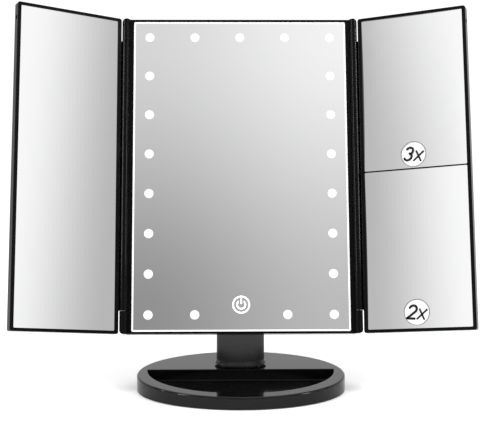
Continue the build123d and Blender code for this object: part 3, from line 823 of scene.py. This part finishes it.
# ---- the studio -----------------------------------------------------------------------------
@dataclass(frozen=True)
class LightCard:
    """Grey card seen only in one mirror: its shade runs evenly across and up it.

    Its edges fade into the white room, so that from anywhere else it is a soft grey cloud.
    """

    name: str
    panel: PanelFrame
    middle: tuple[float, float]     # the mirror's middle, across and up its panel
    reach: float                    # how far the card stands from the mirror
    seen: tuple[float, float]       # half width and half height of what the mirror shows of it
    low_left: float                 # brightness at that patch's corners, as the mirror shows it
    low_right: float
    top_left: float
    top_right: float
    margin: float = 2.2             # card's half size over the seen half size
    full_to: float = 1.15           # how far out it stays at full strength, over the seen half size

    def build(self, eye: Vector) -> None:
        """Makes and places the card.

        Args:
            eye: where the camera is.
        """
        spot = self.panel.place(*self.middle, 0.0)
        ray = (spot - eye).normalized().reflect(self.panel.out)
        right = (self.panel.across - ray * self.panel.across.dot(ray)).normalized()
        up = right.cross(ray)
        if up.dot(self.panel.up) < 0:
            up = -up
        half_w, half_h = (side * self.margin for side in self.seen)
        mesh = bpy.data.meshes.new(self.name)
        mesh.from_pydata([(-half_w, -half_h, 0), (half_w, -half_h, 0), (half_w, half_h, 0),
                          (-half_w, half_h, 0)], [], [(0, 1, 2, 3)])
        card = bpy.data.objects.new(self.name, mesh)
        bpy.context.scene.collection.objects.link(card)
        turn = Matrix((right, up, right.cross(up))).transposed().to_4x4()
        card.matrix_world = Matrix.Translation(spot + ray * self.reach) @ turn
        mesh.materials.append(self.shade())
        card.visible_camera = False
        card.visible_shadow = False
        card.visible_diffuse = False
        LOG.info("%s: light card %.2f by %.2f m", self.name, 2 * half_w, 2 * half_h)

    def shade(self) -> bpy.types.Material:
        """The card's glow, even across and up it, and its faded border."""
        paint = Paint(self.name, {})
        parts = paint.node("ShaderNodeSeparateXYZ", {0: paint.place()}).outputs
        across, up = (paint.span(parts[i], -self.seen[i], self.seen[i]) for i in (0, 1))
        low = paint.tint(across, grey(self.low_left), grey(self.low_right))
        top = paint.tint(across, grey(self.top_left), grey(self.top_right))
        glow = paint.node("ShaderNodeEmission", {"Color": paint.tint(up, low, top)})
        fades = []
        for i in (0, 1):
            away = paint.maths("ABSOLUTE", parts[i])
            fades.append(paint.span(away, self.seen[i] * self.margin, self.seen[i] * self.full_to))
        mask = paint.maths("MULTIPLY", *fades)
        clear = paint.node("ShaderNodeBsdfTransparent", {})
        mixed = paint.node("ShaderNodeMixShader", {0: mask, 1: clear.outputs[0], 2: glow.outputs[0]})
        paint.tree.links.new(mixed.outputs[0], paint.tree.nodes["Material Output"].inputs["Surface"])
        return paint.material


@dataclass
class Studio:
    """Pale floor, white room, soft overhead light, light cards and the camera."""

    eye: Vector = field(default_factory=lambda: Vector((-17.5, -883.6, 233.9)) * MM)
    aim: Vector = field(default_factory=lambda: Vector((-0.4, 18.0, 132.5)) * MM)
    subject: Vector = field(default_factory=lambda: Vector((0.0, 0.0, 160.0)) * MM)
    lens: float = 90.0
    floor_side: float = 9.0
    room_glow: float = 1.12
    key_power: float = 4.0
    key_size: tuple[float, float] = (1.6, 1.6)
    key_place: Vector = field(default_factory=lambda: Vector((0.3, -0.5, 1.9)))
    table_glow: float = 0.03
    strip_power: float = 7.0
    strip_size: tuple[float, float] = (0.10, 0.75)
    strip_turns: tuple[float, float] = (-57.0, 64.0)    # degrees round from the front
    strip_rise: float = 28.0
    strip_reach: float = 1.3

    def build_floor(self) -> None:
        """Lays the plain floor."""
        half = self.floor_side / 2
        mesh = bpy.data.meshes.new("studio_floor")
        mesh.from_pydata([(-half, -half, 0), (half, -half, 0), (half, half, 0), (-half, half, 0)],
                         [], [(0, 1, 2, 3)])
        floor = bpy.data.objects.new("studio_floor", mesh)
        bpy.context.scene.collection.objects.link(floor)
        paint = Paint("floor_white", {"Roughness": 0.85, "Specular IOR Level": 0.1,
                                      "Emission Color": (1.0, 1.0, 1.0, 1.0),
                                      "Emission Strength": self.table_glow})
        paint.to("Base Color", paint.tint(paint.noise(3.0, 2.0), grey(0.95), grey(0.93)))
        mesh.materials.append(paint.material)

    def build_room(self) -> None:
        """Lights everything from an even white room, a soft light overhead and two side strips."""
        world = bpy.data.worlds.new("white_room")
        bpy.context.scene.world = world
        world.use_nodes = True
        backdrop = world.node_tree.nodes["Background"]
        backdrop.inputs["Color"].default_value = (1.0, 1.0, 1.0, 1.0)
        backdrop.inputs["Strength"].default_value = self.room_glow
        self.build_softbox("overhead_softbox", self.key_size, self.key_power, self.key_place)
        for turn in self.strip_turns:
            around, rise = math.radians(turn), math.radians(self.strip_rise)
            level = math.cos(rise)
            way = Vector((math.sin(around) * level, -math.cos(around) * level, math.sin(rise)))
            name = "strip_right" if turn > 0 else "strip_left"
            place = self.subject + way * self.strip_reach
            self.build_softbox(name, self.strip_size, self.strip_power, place)

    def build_softbox(self, name: str, size: tuple[float, float], power: float, place: Vector) -> None:
        """Hangs one soft light, aimed at the object and hidden from the camera itself.

        Args:
            name: the light's name.
            size: its width and height.
            power: its power in watts.
            place: where it hangs.
        """
        light = bpy.data.lights.new(name, "AREA")
        light.shape = "RECTANGLE"
        light.size, light.size_y = size
        light.energy = power
        lamp = bpy.data.objects.new(name, light)
        bpy.context.scene.collection.objects.link(lamp)
        lamp.location = place
        lamp.rotation_euler = (self.subject - place).to_track_quat("-Z", "Y").to_euler()
        lamp.visible_camera = False
        LOG.info("%s: soft light of %.0f W", name, power)

    def build_cards(self) -> None:
        """Puts one graded card where each mirror looks."""
        head, left, right = head_frame(), wing_frame(Side.LEFT), wing_frame(Side.RIGHT)
        wing_middle = 45.4 * MM
        half_wing = 59.3 * MM
        cards = (
            LightCard("card_centre", head, (0.0, 0.0), 1.2, (0.19, 0.28), 0.29, 0.52, 0.72, 0.96),
            LightCard("card_left", left, (-wing_middle, 0.0), 1.0, (0.085, 0.26), 1.0, 0.50, 1.0, 0.50),
            LightCard("card_3x", right, (wing_middle, half_wing), 1.0, (0.035, 0.10), 0.52, 1.0, 0.50, 1.0),
            LightCard("card_2x", right, (wing_middle, -half_wing), 1.0, (0.05, 0.10), 0.52, 1.0, 0.50, 1.0),
        )
        for card in cards:
            card.build(self.eye)

    def build_camera(self) -> None:
        """Sets the camera a little left of the middle, looking slightly down."""
        data = bpy.data.cameras.new("camera")
        data.lens = self.lens
        camera = bpy.data.objects.new("camera", data)
        bpy.context.scene.collection.objects.link(camera)
        camera.location = self.eye
        camera.rotation_euler = (self.aim - self.eye).to_track_quat("-Z", "Y").to_euler()
        bpy.context.scene.camera = camera

    def build(self) -> None:
        """Builds the whole studio."""
        bpy.context.scene.view_settings.view_transform = "Standard"
        self.build_floor()
        self.build_room()
        self.build_cards()
        self.build_camera()


def main() -> None:
    """Finishes each sub-assembly in turn, then sets up the studio."""
    logging.basicConfig(level=logging.INFO, format="%(name)s %(message)s")
    gloss = MouldedPlastic("frame_gloss_black", (0.0010, 0.0010, 0.0011), 0.10, smudge=0.05,
                           skin_scale=350.0, skin_depth=0.001 * MM, specular=0.09,
                           edge=0.03 * MM, dust=0.0003, wear=0.003).build()
    satin = MouldedPlastic("cover_satin_black", (0.016, 0.016, 0.017), 0.36, skin_scale=2200.0,
                           skin_depth=0.02 * MM, dust=0.01).build()
    mirror = SilveredGlass("silvered_glass").build()
    Stand().dress()
    CentrePanel().dress(gloss, mirror)
    rear = RearHousing()
    rear.dress(satin)
    rear.mark_switch(satin)
    plain = PlainWing()
    plain.dress(gloss, satin)
    plain.dress_mirror(mirror)
    magnifiers = MagnifierWing()
    magnifiers.dress(gloss, satin)
    magnifiers.dress_mirrors(mirror)
    magnifiers.print_labels()
    Fasteners().dress()
    Studio().build()


if __name__ == "__main__":
    main()
